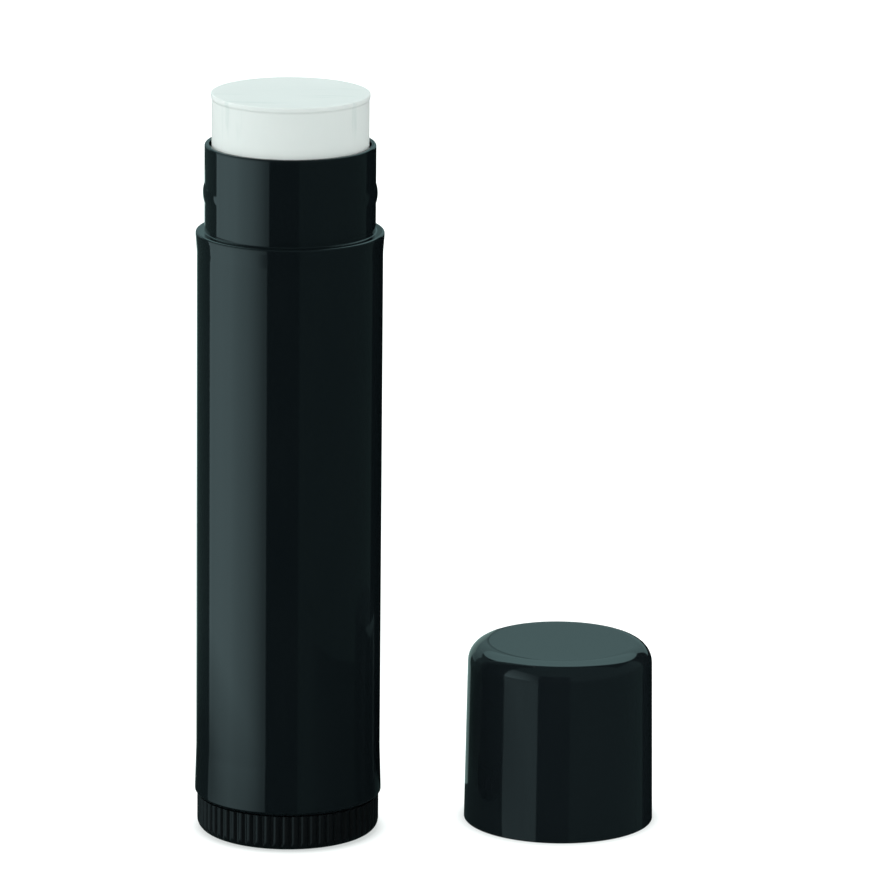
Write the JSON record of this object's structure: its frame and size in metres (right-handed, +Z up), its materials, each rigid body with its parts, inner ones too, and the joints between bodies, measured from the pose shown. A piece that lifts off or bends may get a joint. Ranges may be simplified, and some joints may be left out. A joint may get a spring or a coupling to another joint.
{
  "type": "lip balm stick",
  "caption": "Twist-up lip balm stick: a round tube with a ribbed dial at its foot, a screw-driven cup that lifts the balm out of the neck, and its push-on cap standing beside it.",
  "frame": {"origin": "on the tube's axis, in the plane that the dial's foot ring and the cap's mouth stand on", "axes": "+Z up along the tube, +X from the tube towards the cap that stands beside it, +Y away from the viewer of the picture"},
  "size_m": [0.0395, 0.0197, 0.0644],
  "materials": {
    "black_plastic": "gloss",
    "inner_plastic": "satin",
    "wax": "satin"
  },
  "bodies": {
    "barrel": {"barrel": "black_plastic"},
    "dial": {"dial": "black_plastic"},
    "elevator": {"elevator_cup": "inner_plastic", "balm": "wax"},
    "cap": {"cap": "black_plastic"}
  },
  "joints": [
    {"name": "dial_turn", "type": "hinge", "parent": "barrel", "child": "dial", "pos_m": [0, 0, 0], "axis": [0, 0, -1], "range_deg": [-392, 3556]},
    {"name": "elevator_rise", "type": "slide", "parent": "barrel", "child": "elevator", "axis": [0, 0, 1], "range_m": [-0.00435, 0.0395]},
    {"name": "cap_lift", "type": "slide", "parent": "barrel", "child": "cap", "axis": [0, 0, 1], "range_m": [0, 0.075]}
  ],
  "couplings": [
    {"joint": "dial_turn", "follows": "elevator_rise", "rad_per_m": 1570.8}
  ]
}
